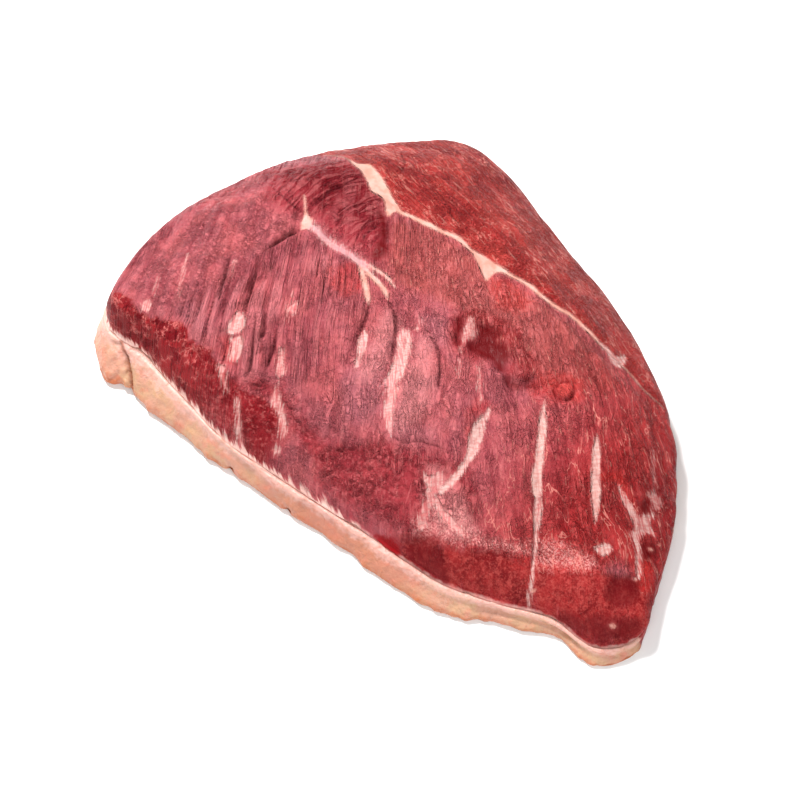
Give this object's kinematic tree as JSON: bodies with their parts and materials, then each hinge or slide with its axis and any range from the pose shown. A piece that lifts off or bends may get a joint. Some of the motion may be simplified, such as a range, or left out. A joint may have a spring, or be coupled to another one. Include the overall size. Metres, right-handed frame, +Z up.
{
  "type": "raw picanha",
  "caption": "Raw picanha beef cut: a thick three-cornered wedge of red lean with pale seams and fibre relief, lying on its cap of fat.",
  "frame": {"origin": "middle of the underside, where the fat cap rests", "axes": "+X along the long fat edge from the thick left end to the thin tip, +Y from that edge to the far corner, +Z up"},
  "size_m": [0.2854, 0.1994, 0.0508],
  "materials": {
    "lean_meat": "moist raw beef, satin with pale silver skin and fat streaks",
    "fat": "waxy cream beef fat, satin"
  },
  "bodies": {
    "root": {"lean": "lean_meat", "fat_cap": "fat"}
  },
  "joints": []
}
